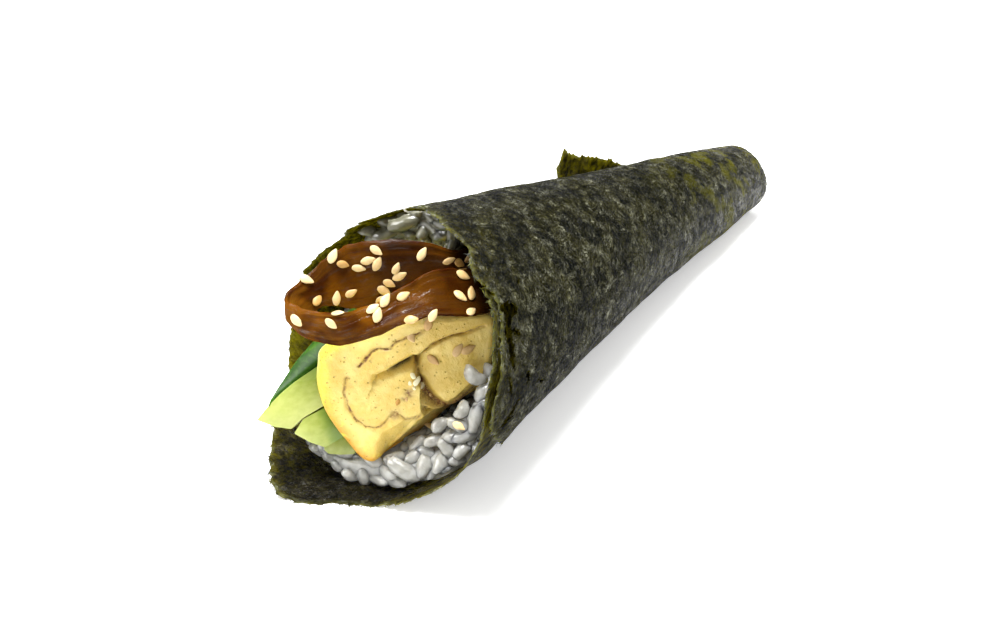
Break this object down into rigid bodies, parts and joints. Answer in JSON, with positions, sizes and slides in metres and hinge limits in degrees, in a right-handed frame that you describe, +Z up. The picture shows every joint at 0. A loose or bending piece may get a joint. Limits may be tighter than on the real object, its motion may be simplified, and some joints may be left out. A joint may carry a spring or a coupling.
{
  "type": "hand roll",
  "caption": "Cone of dried seaweed lying on its side, rolled around rice, rolled omelette, cucumber sticks and a folded ribbon of simmered gourd.",
  "frame": {"origin": "bottom middle of the bounding box, on the plane the roll rests on", "axes": "+X runs from the open mouth to the narrow tail, +Z up, the side that is seen faces -Y"},
  "size_m": [0.165, 0.0572, 0.052],
  "materials": {
    "nori": "dry rough sheet with a faint sheen",
    "rice": "moist, slightly translucent",
    "egg": "soft satin",
    "kanpyo": "wet and glossy",
    "cucumber_skin_side": "satin skin",
    "cucumber_upper": "moist",
    "cucumber_lower": "moist",
    "cucumber_end": "moist"
  },
  "bodies": {
    "root": {"nori_wrap": "nori", "rice": "rice", "egg": "egg", "kanpyo": "kanpyo", "cucumber_skin_side": "cucumber_skin_side", "cucumber_upper": "cucumber_upper", "cucumber_lower": "cucumber_lower", "cucumber_end": "cucumber_end"}
  },
  "joints": []
}
